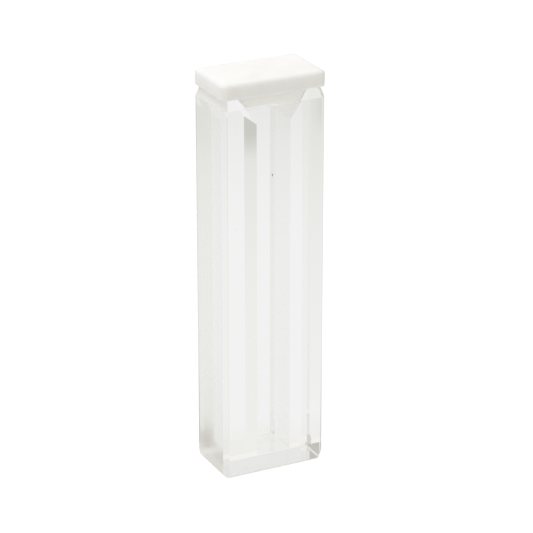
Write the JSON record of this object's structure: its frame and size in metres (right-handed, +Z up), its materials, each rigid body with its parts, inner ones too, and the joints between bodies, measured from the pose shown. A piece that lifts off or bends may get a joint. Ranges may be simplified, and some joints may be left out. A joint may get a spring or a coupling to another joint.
{
  "type": "cuvette",
  "caption": "Upright clear cuvette with thick side walls around a narrow chamber, polished windows, a flared mouth and a white lid that plugs it, for measuring light through a liquid.",
  "frame": {"origin": "centre of the base, on the surface that the cell stands on", "axes": "+Z up along the cell, +Y from the front window to the back window along the light path, +X across the two side walls"},
  "size_m": [0.0126, 0.0074, 0.0468],
  "materials": {
    "clear_glass": "polished",
    "white_lid": "satin"
  },
  "bodies": {
    "root": {"cell": "clear_glass", "lid": "white_lid"}
  },
  "joints": []
}
